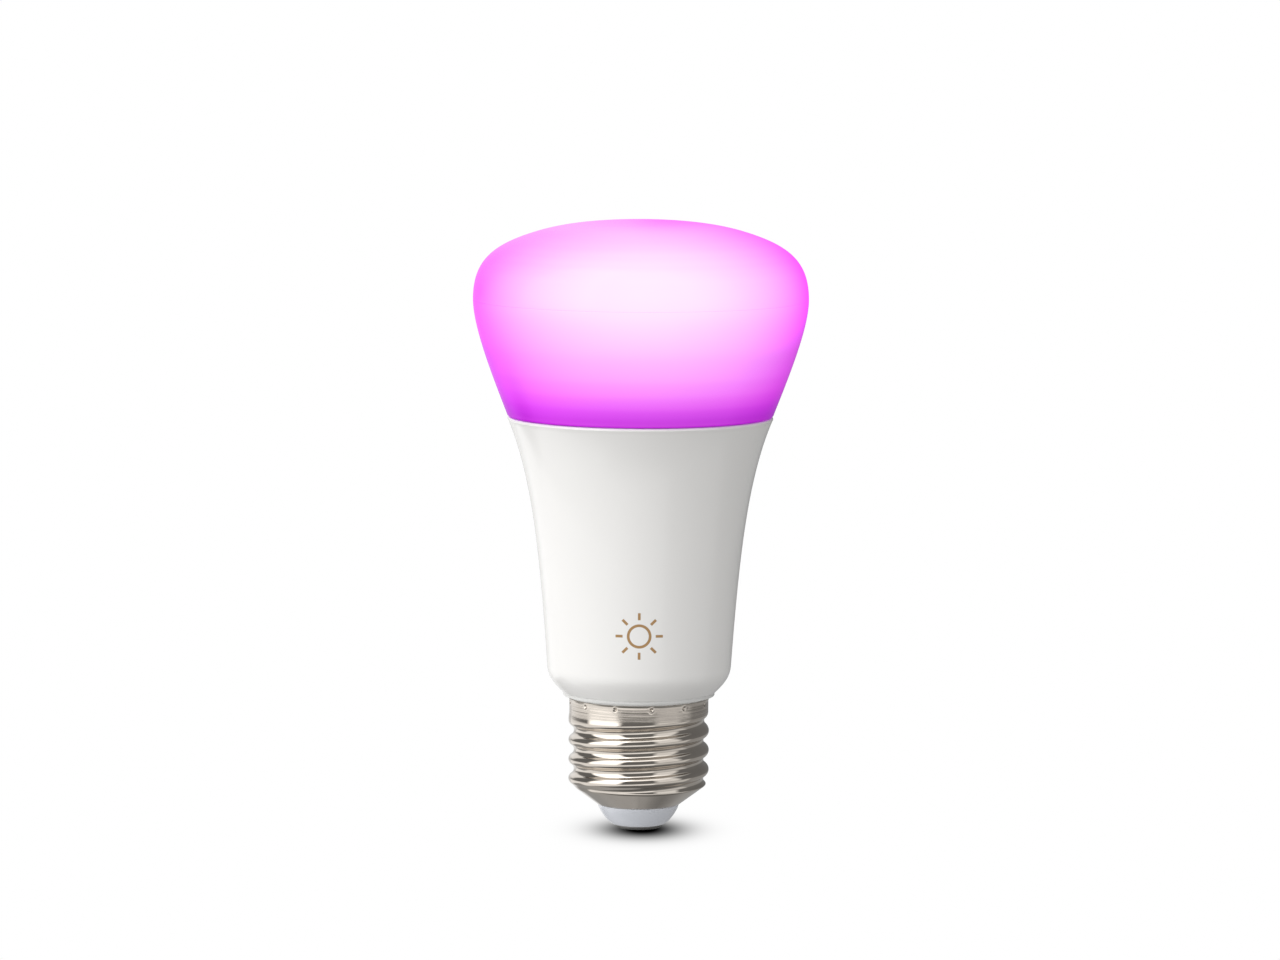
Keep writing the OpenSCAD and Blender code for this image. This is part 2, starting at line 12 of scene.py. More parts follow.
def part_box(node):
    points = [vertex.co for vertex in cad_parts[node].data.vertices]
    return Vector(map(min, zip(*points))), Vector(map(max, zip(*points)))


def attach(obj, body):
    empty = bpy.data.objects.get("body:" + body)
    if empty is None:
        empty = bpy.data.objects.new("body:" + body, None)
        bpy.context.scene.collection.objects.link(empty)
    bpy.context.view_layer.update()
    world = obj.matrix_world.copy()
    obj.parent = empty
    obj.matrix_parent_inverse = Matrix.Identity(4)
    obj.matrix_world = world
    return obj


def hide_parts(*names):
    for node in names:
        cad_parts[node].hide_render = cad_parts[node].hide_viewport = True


MM = 0.001
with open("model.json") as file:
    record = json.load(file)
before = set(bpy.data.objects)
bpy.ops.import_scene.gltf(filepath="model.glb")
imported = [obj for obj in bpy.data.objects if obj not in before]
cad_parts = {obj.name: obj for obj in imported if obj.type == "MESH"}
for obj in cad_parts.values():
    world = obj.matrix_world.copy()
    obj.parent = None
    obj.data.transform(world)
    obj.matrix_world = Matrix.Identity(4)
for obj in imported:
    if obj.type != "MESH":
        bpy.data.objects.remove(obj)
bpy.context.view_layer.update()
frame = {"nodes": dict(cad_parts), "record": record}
nodes = frame["nodes"]


# ---------------------------------------------------------------- sizes, from the frame where it has them
def low(node):
    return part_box(node)[0] / MM


def high(node):
    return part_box(node)[1] / MM


TOP_Z = high("diffuser_dome").z
WIDE_R = high("diffuser_dome").x
RIM_Z = high("housing").z
RIM_R = high("housing").x
COLLAR_Z = low("housing").z
FOOT_Z = high("seal_ring").z
SHELL_TOP_Z = high("screw_shell").z
SHELL_BOTTOM_Z = low("screw_shell").z
CONTACT_R = high("centre_contact").x
STEM_TOP_Z = high("centre_contact").z
INSULATOR_TOP_Z = high("cap_insulator").z
SLEEVE_TOP_Z = high("driver_sleeve").z
SLEEVE_TOP_R = high("driver_sleeve").x
NECK_BOTTOM_Z = low("driver_sleeve").z

DIFFUSER_WALL = 1.5
CROWN_R = 19.4
CROWN_Z = TOP_Z - 2.23
CROWN_TILT = math.radians(17)
CROWN_FLAT_R = 11
TONGUE_H = 1.4
TONGUE_T = 0.7
TONGUE_EDGE_R = 0.15
PARTING_GAP = 0.01
PARTING_EDGE_R = 0.01
PARTING_Z = low("diffuser_dome").z + TONGUE_H
SKIRT_FOOT = (24.75, 77.4)
FOOT_R = 24.2
SPIGOT_R = 22.7
SPIGOT_T = 1.3
SPIGOT_EDGE_R = 0.3
SPIGOT_Z = low("diffuser_skirt").z
SNAP_Z = 75.2
SNAP_H = 0.2
SEAL_R = 23.7
SEAL_BULGE_R = 23.98

FIT = 0.1
FINE_EDGE_R = 0.08
HOUSING_WALL = 1.3
RIM_EDGE_R = 0.35
RIM_LIP_H = 0.5
FLARE_TOP = (RIM_R - 0.1, RIM_Z - 0.65)
LEDGE_Z = 74.2
WAIST_R = 17.07
WAIST_Z = 30.4
SEAT_R = 14.25
SEAT_EDGE_R = 0.1
MOUTH_R = 13.2
MOUTH_Z = 26.6
COLLAR_R = 14.05
COLLAR_H = 0.7
GROOVE_R = 12.9

SLEEVE_GAP = 1.1
SLEEVE_WALL = 1.2
SLEEVE_EDGE_R = 0.2
BARREL_R = 14.6
BARREL_IN_R = 13.4
BARREL_FOOT_Z = 31
SHELL_SEAT_R = 12.5
NECK_R = 11.6
NECK_IN_R = 10.4
RIB_T = 1.0
RIB_IN_X = 12.0
RIB_Z = (34, 62)
BOARD_Y = low("driver_board").y
BOARD_BACK_Y = high("driver_board").y
BOARD_PLAY = 0.1

LED_W = 3.0
LED_BODY_H = 0.55
LED_EDGE = 0.06
LED_CORNER_R = 0.25
LED_BASE_Z = low("leds_red").z
LED_TOP_Z = high("leds_red").z
LED_RING_R = 15.5
LED_KINDS = ("leds_warm_white", "leds_green", "leds_cool_white", "leds_red", "leds_blue")
LEDS_PER_COLOUR = 3
LED_START = math.radians(6)
BOBBIN_TUBE = (5.45, 6.45)
BOBBIN_WIRE = 0.5
CHOKE_POST_R = 1.65
CHOKE_WIRE = 0.55
LEG_REACH = 0.81

CREST_R = 13.05
THREAD_DEPTH = 1.0
THREAD_PITCH = 3.629
FIRST_ROOT_Z = 9.07
BAND_R = 12.92
BAND_Z = 21.6
SHELL_BOTTOM_R = 7.75
SHELL_EDGE = 0.12
CONE_SLOPE = 1.34
CONE_BLEND = 0.5
THREAD_END = (1060, 1160)  # degrees of turning from the first root, where the groove fades out
SHEET = 0.3
PUNCH_MARKS = 12
PUNCH_TURN = math.radians(10.4 - 90)
PUNCH_DROP = 0.8
PIT_DEPTH = 0.24
PIT_R = (0.05, 0.42)
BURR_H = 0.05
BURR_R = 0.5
BURR_W = 0.12
LIP_FROM_Z = 23.65
LIP_OUT = 0.22
TIP_R = 7.5
TIP_Z = 4.38
CONTACT_FACE_R = 4.0
CONTACT_EDGE_R = 0.5
CONTACT_DISC_H = 0.6
STEM_R = 1.5

MARK_Z = 38.0
MARK_RING_R = 2.0
MARK_LINE = 0.22
MARK_EDGE = 0.06
MARK_RAY_FROM = 3.0
MARK_RAY_TO = 4.3


# ---------------------------------------------------------------- outlines
def curve(a, b, c, d, count):
    """Points of a cubic curve from a to d with the handles b and c."""
    points = []
    for i in range(count + 1):
        t = i / count
        s = 1 - t
        weights = (s * s * s, 3 * s * s * t, 3 * s * t * t, t * t * t)
        points.append(tuple(sum(w * p[k] for w, p in zip(weights, (a, b, c, d))) for k in (0, 1)))
    return points


def inset(points, distance):
    """The outline moved to its right-hand side, never past the axis."""
    moved = []
    for i, point in enumerate(points):
        ahead = points[min(i + 1, len(points) - 1)]
        behind = points[max(i - 1, 0)]
        along = Vector(ahead) - Vector(behind)
        along.normalize()
        moved.append((max(0.0, point[0] + distance * along.y), point[1] - distance * along.x))
    return moved


def soften(points, steps=4):
    """The outline with an arc at every point that has a radius as its third value."""
    result = []
    count = len(points)
    for i, point in enumerate(points):
        if len(point) < 3:
            result.append(point)
            continue
        here = Vector(point[:2])
        before = (Vector(points[i - 1][:2]) - here).normalized()
        after = (Vector(points[(i + 1) % count][:2]) - here).normalized()
        half = before.angle(after) / 2
        reach = point[2] / math.tan(half)
        middle = here + (before + after).normalized() * point[2] / math.sin(half)
        start = here + before * reach - middle
        end = here + after * reach - middle
        swing = math.pi - 2 * half
        for step in range(steps + 1):
            t = step / steps
            blend = start * math.sin((1 - t) * swing) + end * math.sin(t * swing)
            result.append(tuple(middle + blend / math.sin(swing)))
    return result


def between(points, bottom, top):
    return [p for p in points if bottom < p[1] < top]


def down_the_crown(distance):
    """A point on the slope where the crown meets the shoulder, as a handle for the curves on both sides."""
    return CROWN_R + distance * math.cos(CROWN_TILT), CROWN_Z - distance * math.sin(CROWN_TILT)


CROWN = curve((0, TOP_Z), (CROWN_FLAT_R, TOP_Z), down_the_crown(-3), (CROWN_R, CROWN_Z), 22)
SHOULDER = curve((CROWN_R, CROWN_Z), down_the_crown(8.2), (WIDE_R, PARTING_Z + 7.2),
                 (WIDE_R, PARTING_Z), 40)
DOME_LINE = CROWN + SHOULDER[1:]
SKIRT_LINE = curve((WIDE_R, PARTING_Z), (WIDE_R, PARTING_Z - 4.9), (27.68, 84.9), SKIRT_FOOT, 48)
FLARE_LINE = curve(FLARE_TOP, (19.84, 65.1), (18.43, 49.8), (WAIST_R, WAIST_Z), 60)
BOTTOM_LINE = curve((WAIST_R, WAIST_Z), (16.95, 28.6), (16.3, 27.5), (SEAT_R, COLLAR_Z), 24)
CAVITY_LINE = inset(FLARE_LINE, HOUSING_WALL)
CAVITY_FOOT = curve((WAIST_R - HOUSING_WALL, WAIST_Z), (15.6, 29.3), (15.0, 28.2), (MOUTH_R, MOUTH_Z), 16)


def dome_outline():
    edge = PARTING_Z + PARTING_GAP / 2
    inner_r = WIDE_R - DIFFUSER_WALL
    return soften(between(DOME_LINE, edge + 0.2, TOP_Z + 1)
                  + [(WIDE_R, edge, PARTING_EDGE_R), (inner_r + TONGUE_T, edge),
                     (inner_r + TONGUE_T, PARTING_Z - TONGUE_H, TONGUE_EDGE_R),
                     (inner_r, PARTING_Z - TONGUE_H, TONGUE_EDGE_R)]
                  + between(inset(DOME_LINE, DIFFUSER_WALL), edge, TOP_Z)[::-1])


def skirt_outline():
    edge = PARTING_Z - PARTING_GAP / 2
    groove_r = WIDE_R - DIFFUSER_WALL + TONGUE_T + FIT / 2
    foot = curve(SKIRT_FOOT, (24.68, 77.15), (24.6, FOOT_Z), (FOOT_R, FOOT_Z), 8)
    spigot = [(SPIGOT_R, FOOT_Z), (SPIGOT_R, SNAP_Z + SNAP_H), (SPIGOT_R + SNAP_H, SNAP_Z, FINE_EDGE_R),
              (SPIGOT_R, SNAP_Z - SNAP_H), (SPIGOT_R, SPIGOT_Z, SPIGOT_EDGE_R),
              (SPIGOT_R - SPIGOT_T, SPIGOT_Z, SPIGOT_EDGE_R), (SPIGOT_R - SPIGOT_T, FOOT_Z)]
    step = PARTING_Z - TONGUE_H - FIT
    return soften([(groove_r, edge, FINE_EDGE_R), (WIDE_R, edge, PARTING_EDGE_R)]
                  + between(SKIRT_LINE, SKIRT_FOOT[1] + 0.05, edge - 0.2) + foot + spigot
                  + between(inset(SKIRT_LINE, DIFFUSER_WALL), FOOT_Z + 1.4, step)[::-1]
                  + [(groove_r, step)])


def housing_outline():
    recess_r = SPIGOT_R + FIT
    rim = [(recess_r, RIM_Z, 0.15), (RIM_R, RIM_Z, RIM_EDGE_R), (RIM_R, RIM_Z - RIM_LIP_H, 0.1)]
    mouth = [(SEAT_R, COLLAR_Z, SEAT_EDGE_R), (MOUTH_R, COLLAR_Z, SEAT_EDGE_R)]
    recess = [(SPIGOT_R - 0.3, LEDGE_Z), (recess_r, LEDGE_Z), (recess_r, SNAP_Z - SNAP_H),
              (recess_r + SNAP_H, SNAP_Z), (recess_r, SNAP_Z + SNAP_H)]
    return soften(rim + FLARE_LINE + BOTTOM_LINE[1:-1] + mouth + CAVITY_FOOT[::-1]
                  + between(CAVITY_LINE, WAIST_Z + 0.2, LEDGE_Z - 0.3)[::-1] + recess)


def sleeve_outline():
    edge = SLEEVE_EDGE_R
    outer = [(r - SLEEVE_GAP, z) for r, z in between(CAVITY_LINE, BARREL_FOOT_Z + 1, SLEEVE_TOP_Z)]
    inner = [(r - SLEEVE_WALL, z) for r, z in outer]
    top = [(SLEEVE_TOP_R - SLEEVE_WALL, SLEEVE_TOP_Z, edge), (SLEEVE_TOP_R, SLEEVE_TOP_Z, edge)]
    barrel_foot = [(BARREL_R, BARREL_FOOT_Z), (BARREL_R, 28.8, 0.8), (MOUTH_R - FIT, 26.9, 0.5)]
    collar = [(MOUTH_R - FIT, COLLAR_Z), (COLLAR_R, COLLAR_Z, SEAT_EDGE_R),
              (COLLAR_R, COLLAR_Z - COLLAR_H, 0.15), (GROOVE_R, COLLAR_Z - COLLAR_H)]
    shell_seat = [(GROOVE_R, SHELL_TOP_Z), (SHELL_SEAT_R, SHELL_TOP_Z), (SHELL_SEAT_R, BAND_Z + 0.6, edge)]
    neck = [(NECK_R, BAND_Z - 0.4, edge), (NECK_R, NECK_BOTTOM_Z, edge), (NECK_IN_R, NECK_BOTTOM_Z, edge),
            (NECK_IN_R, 24.2, 1), (BARREL_IN_R, 29.6, 1), (BARREL_IN_R, BARREL_FOOT_Z)]
    return soften(top + outer + barrel_foot + collar + shell_seat + neck + inner[::-1])


def insulator_outline():
    bore_r = STEM_R + FIT
    inner_r = SHELL_BOTTOM_R - SHEET - FIT
    cone_top = INSULATOR_TOP_Z - 0.8
    cone_r = inner_r + CONE_SLOPE * (cone_top - SHELL_BOTTOM_Z) - 0.3
    bottom = curve((TIP_R + 0.05, 4.35), (7.35, 3.2), (5.8, 0.95), (4.8, 0.62), 28)[::-1]
    plug = [(TIP_R, TIP_Z), (inner_r, TIP_Z), (inner_r, 4.6), (cone_r, cone_top, 0.2),
            (8.6, INSULATOR_TOP_Z, 0.2), (bore_r, INSULATOR_TOP_Z)]
    return soften([(bore_r, CONTACT_DISC_H), (4.65, CONTACT_DISC_H)] + bottom + plug)


def contact_outline():
    rim = [(CONTACT_FACE_R + CONTACT_EDGE_R * math.sin(a), CONTACT_EDGE_R - CONTACT_EDGE_R * math.cos(a))
           for a in (math.radians(15 * i) for i in range(7))]
    stem = [(STEM_R, CONTACT_DISC_H), (STEM_R, STEM_TOP_Z, 0.3), (0, STEM_TOP_Z)]
    return soften([(0, 0)] + rim + [(CONTACT_R, CONTACT_DISC_H)] + stem)


def seal_outline():
    inner_r = SPIGOT_R + 2 * FIT
    bulge = curve((SEAL_R, RIM_Z), (SEAL_BULGE_R, RIM_Z + 0.02),
                  (SEAL_BULGE_R, FOOT_Z - 0.02), (SEAL_R, FOOT_Z), 6)
    return [(inner_r, FOOT_Z), (inner_r, RIM_Z)] + bulge


# ---------------------------------------------------------------- meshes
def finish_mesh(name, vertices, faces, smooth_angle=32):
    """A smooth-shaded object from points in millimetres, with its faces turned outwards."""
    mesh = bpy.data.meshes.new(name)
    mesh.from_pydata([Vector(v) * MM for v in vertices], [], faces)
    work = bmesh.new()
    work.from_mesh(mesh)
    bmesh.ops.remove_doubles(work, verts=work.verts, dist=1e-7)
    bmesh.ops.recalc_face_normals(work, faces=work.faces)
    work.to_mesh(mesh)
    work.free()
    mesh.shade_smooth()
    mesh.set_sharp_from_angle(angle=math.radians(smooth_angle))
    piece = bpy.data.objects.new(name, mesh)
    bpy.context.scene.collection.objects.link(piece)
    return piece


def turned(name, outline, segments=192):
    """A closed outline of (radius, height) spun about the bulb's axis."""
    points = [p for i, p in enumerate(outline) if (Vector(p) - Vector(outline[i - 1])).length > 1e-4]
    vertices = []
    rings = []
    for radius, height in points:
        if radius < 1e-6:
            rings.append([len(vertices)] * segments)
            vertices.append((0, 0, height))
            continue
        rings.append(list(range(len(vertices), len(vertices) + segments)))
        for step in range(segments):
            angle = 2 * math.pi * step / segments
            vertices.append((radius * math.cos(angle), radius * math.sin(angle), height))
    faces = []
    for i, ring in enumerate(rings):
        following = rings[(i + 1) % len(rings)]
        for step in range(segments):
            after = (step + 1) % segments
            corners = [ring[step], ring[after], following[after], following[step]]
            face = list(dict.fromkeys(corners))
            if len(face) > 2:
                faces.append(face)
    return finish_mesh(name, vertices, faces)


def joined(first, second):
    """The first object with the second one's faces added to it."""
    work = bmesh.new()
    work.from_mesh(first.data)
    work.from_mesh(second.data)
    work.to_mesh(first.data)
    work.free()
    bpy.data.objects.remove(second)
    return first


def placed(piece, matrix):
    """The piece with its points moved by a matrix in millimetres."""
    piece.data.transform(Matrix.Scale(MM, 4) @ matrix @ Matrix.Scale(1 / MM, 4))
    return piece


def board_rib(side, middle_y):
    """A guide for one edge of the driver board, from its groove to inside the sleeve's wall."""
    half = RIB_T / 2
    wall = [(r - SLEEVE_GAP - SLEEVE_WALL / 2, z) for r, z in between(CAVITY_LINE, RIB_Z[0], RIB_Z[1])]
    vertices = []
    for reach, height in wall:
        for y in (middle_y - half, middle_y + half):
            vertices += [(side * RIB_IN_X, y, height), (side * math.sqrt(reach ** 2 - y ** 2), y, height)]
    faces = [[0, 1, 3, 2], [len(vertices) - 4 + i for i in (0, 1, 3, 2)]]
    for level in range(len(wall) - 1):
        start = 4 * level
        for a, b in ((0, 1), (1, 3), (3, 2), (2, 0)):
            faces.append([start + a, start + b, start + 4 + b, start + 4 + a])
    return finish_mesh("rib", vertices, faces)


def rounded_loop(width, depth, radius, steps=6):
    """Points around a rectangle with round corners, as (x, y)."""
    loop = []
    for corner, (sx, sy) in enumerate(((1, 1), (-1, 1), (-1, -1), (1, -1))):
        for step in range(steps + 1):
            angle = math.radians(90 * (corner + step / steps))
            loop.append((sx * (width / 2 - radius) + radius * math.cos(angle),
                         sy * (depth / 2 - radius) + radius * math.sin(angle)))
    return loop


def wire_bump(position, wire):
    """How far a row of round wires stands back from its outside at a position along the row."""
    across = (position / wire) % 1.0 - 0.5
    return wire / 2 - math.sqrt(max(0.0, (wire / 2) ** 2 - (across * wire) ** 2))


def bobbin_coil():
    """The transformer's wire, wound in a rounded rectangle around its tube, one bulge for each turn."""
    low_end, high_end = low("transformer_winding"), high("transformer_winding")
    size = high_end - low_end
    middle = (low_end + high_end) / 2
    turns = round(size.z / BOBBIN_WIRE)
    rows = turns * 6
    vertices = []
    for inner in (False, True):
        for row in range(rows + 1):
            height = size.z * row / rows
            back = 0 if inner else wire_bump(height, size.z / turns)
            extent = Vector(BOBBIN_TUBE) if inner else Vector((size.x - 2 * back, size.y - 2 * back))
            radius = 0.2 if inner else 1.6
            for x, y in rounded_loop(extent.x, extent.y, radius):
                vertices.append((middle.x + x, middle.y + y, low_end.z + height))
    count = len(rounded_loop(1, 1, 0.1))
    layer = count * (rows + 1)
    faces = []
    for i in range(count):
        after = (i + 1) % count
        for row in range(rows):
            start = row * count
            quad = [start + i, start + after, start + count + after, start + count + i]
            faces += [quad, [layer + corner for corner in quad]]
        for end in (0, rows * count):
            faces.append([end + i, end + after, layer + end + after, layer + end + i])
    return finish_mesh("transformer_winding_turns", vertices, faces, 50)


def choke_coil():
    """The choke's winding about its own axis, which is square to the board."""
    low_end, high_end = low("choke_winding"), high("choke_winding")
    outer_r = (high_end.x - low_end.x) / 2
    length = high_end.y - low_end.y
    turns = round(length / CHOKE_WIRE)
    steps = turns * 8
    rim = [(outer_r - wire_bump(length * i / steps, length / turns), length * i / steps)
           for i in range(steps + 1)]
    coil = turned("choke_winding_turns", [(CHOKE_POST_R, length), (CHOKE_POST_R, 0)] + rim, 72)
    middle = (low_end + high_end) / 2
    lay_down = Matrix.Rotation(-math.pi / 2, 4, "X")
    return placed(coil, Matrix.Translation((middle.x, low_end.y, middle.z)) @ lay_down)


def led_package():
    """One package on the axis: a square body with a bevelled top edge and a round, domed lens."""
    top = LED_BASE_Z + LED_BODY_H
    body = rounded_loop(LED_W, LED_W, LED_CORNER_R, 4)
    vertices = []
    rings = []
    for scale, height in ((1, LED_BASE_Z), (1, top - LED_EDGE), (0.97, top)):
        rings.append([len(vertices) + i for i in range(len(body))])
        vertices += [(x * scale, y * scale, height) for x, y in body]
    count = len(body)
    lens = [(1.2, top), (1.2, top + 0.02), (1.05, top + 0.09), (0.75, top + 0.125), (0.35, top + 0.145)]
    for radius, height in lens:
        rings.append([len(vertices) + i for i in range(count)])
        for x, y in body:
            angle = math.atan2(y, x)
            vertices.append((radius * math.cos(angle), radius * math.sin(angle), height))
    faces = [rings[0][::-1], rings[-1]]
    for ring, following in zip(rings, rings[1:]):
        for i in range(count):
            after = (i + 1) % count
            faces.append([ring[i], ring[after], following[after], following[i]])
    return finish_mesh("led", vertices, faces, 30)


def smooth_step(low_end, high_end, value):
    t = min(1.0, max(0.0, (value - low_end) / (high_end - low_end)))
    return t * t * (3 - 2 * t)


def groove_depth(height):
    """Depth below the crest at a height above a root: two equal arcs that meet halfway."""
    quarter = THREAD_PITCH / 4
    arc = (quarter ** 2 + (THREAD_DEPTH / 2) ** 2) / THREAD_DEPTH
    away = min(abs(height), 2 * quarter)
    if away < quarter:
        return THREAD_DEPTH - arc + math.sqrt(arc ** 2 - away ** 2)
    return arc - math.sqrt(arc ** 2 - (2 * quarter - away) ** 2)


def soft_min(a, b, width):
    """The smaller of two values, with a smooth change from one to the other."""
    h = min(1.0, max(0.0, 0.5 + 0.5 * (b - a) / width))
    return b + (a - b) * h - width * h * (1 - h)


def punch(angle, height):
    """How far the sheet is pushed in at a punch mark, with the low burr around it."""
    sector = 2 * math.pi / PUNCH_MARKS
    turn = (angle - PUNCH_TURN + sector / 2) % sector - sector / 2
    away = math.hypot(turn * BAND_R, height - (SHELL_TOP_Z - PUNCH_DROP))
    pit = PIT_DEPTH * (1 - smooth_step(PIT_R[0], PIT_R[1], away))
    burr = BURR_H * math.exp(-((away - BURR_R) / BURR_W) ** 2)
    return pit - burr


def shell_radius(angle, height):
    """The shell's outside: band or thread crests less the groove, and the cone where that is smaller."""
    turn = angle / (2 * math.pi)
    turns = round((height - FIRST_ROOT_Z) / THREAD_PITCH - turn)
    above_root = height - FIRST_ROOT_Z - THREAD_PITCH * (turns + turn)
    left = 1 - smooth_step(THREAD_END[0], THREAD_END[1], 360 * (turns + turn))
    rise = smooth_step(BAND_Z - 1.2, BAND_Z, height)
    envelope = CREST_R + (BAND_R - CREST_R) * rise
    envelope += LIP_OUT * max(0.0, (height - LIP_FROM_Z) / (SHELL_TOP_Z - LIP_FROM_Z)) ** 2
    cone = SHELL_BOTTOM_R + CONE_SLOPE * (height - SHELL_BOTTOM_Z)
    return soft_min(envelope - groove_depth(above_root) * left, cone, CONE_BLEND)


def screw_shell():
    """The threaded sheet-metal shell, finer around the punch marks and at both edges."""
    sector = 2 * math.pi / PUNCH_MARKS
    fine = math.radians(3)
    offsets = [-fine + fine * i / 5 for i in range(10)]
    offsets += [fine + (sector - 2 * fine) * i / 12 for i in range(12)]
    angles = [PUNCH_TURN + sector * mark + offset for mark in range(PUNCH_MARKS) for offset in offsets]
    plain_top = SHELL_TOP_Z - PUNCH_DROP - 0.65
    heights = [SHELL_BOTTOM_Z + (plain_top - SHELL_BOTTOM_Z) * i / 150 for i in range(150)]
    heights += [plain_top + (SHELL_TOP_Z - plain_top) * i / 18 for i in range(19)]
    columns = len(angles)
    vertices = []
    for inner in (False, True):
        for height in heights:
            roll = max(0.0, SHELL_EDGE - (SHELL_TOP_Z - height)) / SHELL_EDGE
            tuck = SHELL_EDGE * (1 - math.sqrt(1 - roll ** 2)) if height < SHELL_TOP_Z else SHELL_EDGE
            for angle in angles:
                radius = shell_radius(angle % (2 * math.pi), height) - punch(angle, height)
                radius += tuck - SHEET if inner else -tuck
                vertices.append((radius * math.cos(angle), radius * math.sin(angle), height))
    layer = columns * len(heights)
    last = columns * (len(heights) - 1)
    faces = []
    for column in range(columns):
        after = (column + 1) % columns
        for row in range(len(heights) - 1):
            start = row * columns
            quad = [start + column, start + after, start + columns + after, start + columns + column]
            faces.append(quad)
            faces.append([layer + corner for corner in quad])
        faces.append([column, after, layer + after, layer + column])
        faces.append([last + column, last + after, layer + last + after, layer + last + column])
    return finish_mesh("screw_shell_threaded", vertices, faces, 50)


# ---------------------------------------------------------------- materials
def new_material(name):
    material = bpy.data.materials.new(name)
    material.use_nodes = True
    return material, material.node_tree, material.node_tree.nodes["Principled BSDF"]


def add(tree, kind, **settings):
    node = tree.nodes.new(kind)
    for key, value in settings.items():
        setattr(node, key, value)
    return node


def coordinates(tree, scale=(1, 1, 1)):
    """Object coordinates, which are metres in the bulb's frame, times a scale on each axis."""
    source = add(tree, "ShaderNodeTexCoord")
    mapping = add(tree, "ShaderNodeMapping")
    mapping.inputs["Scale"].default_value = scale
    tree.links.new(source.outputs["Object"], mapping.inputs["Vector"])
    return mapping.outputs["Vector"]


def noise(tree, vector, scale, detail=3.0, roughness=0.5):
    texture = add(tree, "ShaderNodeTexNoise")
    texture.inputs["Scale"].default_value = scale
    texture.inputs["Detail"].default_value = detail
    texture.inputs["Roughness"].default_value = roughness
    tree.links.new(vector, texture.inputs["Vector"])
    return texture.outputs["Fac"]


def spread(tree, value, from_low, from_high, to_low, to_high, smooth=False):
    remap = add(tree, "ShaderNodeMapRange")
    if smooth:
        remap.interpolation_type = "SMOOTHSTEP"
    for slot, number in zip(("From Min", "From Max", "To Min", "To Max"),
                            (from_low, from_high, to_low, to_high)):
        remap.inputs[slot].default_value = number
    tree.links.new(value, remap.inputs["Value"])
    return remap.outputs["Result"]


def math_node(tree, operation, first, second=None):
    node = add(tree, "ShaderNodeMath", operation=operation)
    for slot, value in enumerate((first, second)):
        if isinstance(value, bpy.types.NodeSocket):
            tree.links.new(value, node.inputs[slot])
        elif value is not None:
            node.inputs[slot].default_value = value
    return node.outputs[0]


def mixed(tree, factor, first, second, blend="MIX"):
    """A colour between two colours, each a socket or plain red, green and blue."""
    mix = add(tree, "ShaderNodeMix", data_type="RGBA", blend_type=blend)
    tree.links.new(factor, mix.inputs["Factor"])
    for slot, source in ((6, first), (7, second)):
        if isinstance(source, bpy.types.NodeSocket):
            tree.links.new(source, mix.inputs[slot])
        else:
            mix.inputs[slot].default_value = (*source, 1)
    return mix.outputs[2]


def bump(tree, shader, height, strength, distance):
    node = add(tree, "ShaderNodeBump")
    node.inputs["Strength"].default_value = strength
    node.inputs["Distance"].default_value = distance
    tree.links.new(height, node.inputs["Height"])
    tree.links.new(node.outputs["Normal"], shader.inputs["Normal"])


def grained(name, dark, light, scale, rough, metallic=0.0, relief=0.1, depth=2e-5, stretch=(1, 1, 1)):
    """A surface whose colour, roughness and relief all follow one fine grain."""
    material, tree, shader = new_material(name)
    vector = coordinates(tree, stretch)
    fine = noise(tree, vector, scale, 4, 0.6)
    cloud = noise(tree, vector, scale / 12, 2)
    tone = mixed(tree, spread(tree, cloud, 0.3, 0.7, 0, 1), dark, light)
    tree.links.new(tone, shader.inputs["Base Color"])
    tree.links.new(spread(tree, fine, 0.3, 0.7, rough[0], rough[1]), shader.inputs["Roughness"])
    bump(tree, shader, fine, relief, depth)
    shader.inputs["Metallic"].default_value = metallic
    return material


